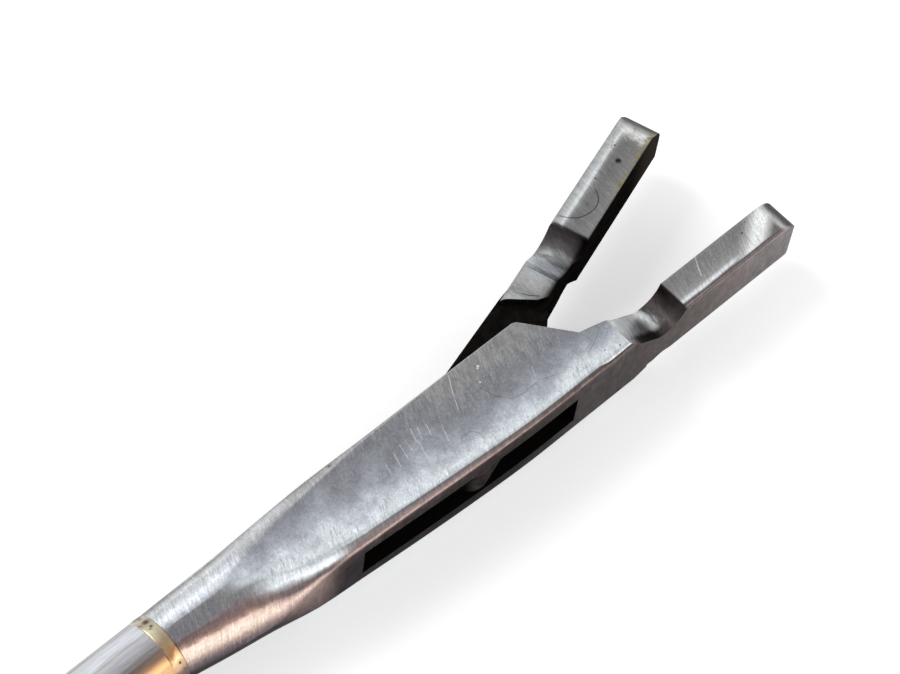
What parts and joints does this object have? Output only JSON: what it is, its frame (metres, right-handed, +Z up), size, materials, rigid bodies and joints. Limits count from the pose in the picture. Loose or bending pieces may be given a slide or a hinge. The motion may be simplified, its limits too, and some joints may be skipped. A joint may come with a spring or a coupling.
{
  "type": "laryngeal forceps",
  "caption": "Tube-shaft laryngeal forceps with a square-ended gripping jaw at the tip, worked by a push rod from a ring handle; lies on its side.",
  "frame": {"origin": "on the surface it lies on, under the tube's axis, below the lever's pivot screw", "axes": "+X along the tube towards the jaws, +Y the side that the moving jaw opens to, +Z up from the side it lies on"},
  "size_m": [0.2776, 0.0996, 0.007],
  "materials": {
    "tube_steel": "satin",
    "head_steel": "brushed satin, worn",
    "jaw_steel": "brushed satin, worn",
    "rod_steel": "satin",
    "pin_steel": "ground",
    "handle_steel": "satin",
    "screw_steel": "polished",
    "dark_steel": "dull",
    "braze": "dull gold, pitted",
    "bronze": "dull"
  },
  "bodies": {
    "frame": {"outer_tube": "tube_steel", "braze_ring": "braze", "jaw_head": "head_steel", "jaw_pivot_pin": "pin_steel", "rod_guide_bush": "bronze", "handle_body": "handle_steel", "pivot_screw": "screw_steel", "pivot_washer": "dark_steel", "tube_ferrule": "bronze", "union_nut": "handle_steel", "tube_set_screw": "dark_steel", "stop_screw": "screw_steel", "stop_lock_nut": "screw_steel"},
    "lever": {"thumb_lever": "handle_steel", "rod_end_pin": "pin_steel"},
    "rod": {"push_rod": "rod_steel", "rod_end": "dark_steel", "rod_lock_nut": "screw_steel", "jaw_link_pin": "pin_steel"},
    "jaw": {"moving_jaw": "jaw_steel"}
  },
  "joints": [
    {"name": "lever_hinge", "type": "hinge", "parent": "frame", "child": "lever", "pos_m": [0, 0.0045, 0.0035], "axis": [0, 0, 1], "range_deg": [0, 9.57]},
    {"name": "rod_slide", "type": "slide", "parent": "frame", "child": "rod", "axis": [1, 0, 0], "range_m": [0, 0.000751]},
    {"name": "jaw_hinge", "type": "hinge", "parent": "frame", "child": "jaw", "pos_m": [0.2072, -0.0024, 0.0035], "axis": [0, 0, 1], "range_deg": [-18.02, 0]}
  ],
  "couplings": [
    {"joint": "rod_slide", "follows": "lever_hinge", "m_per_rad": 0.004495},
    {"joint": "jaw_hinge", "follows": "lever_hinge", "ratio": -1.8805}
  ]
}
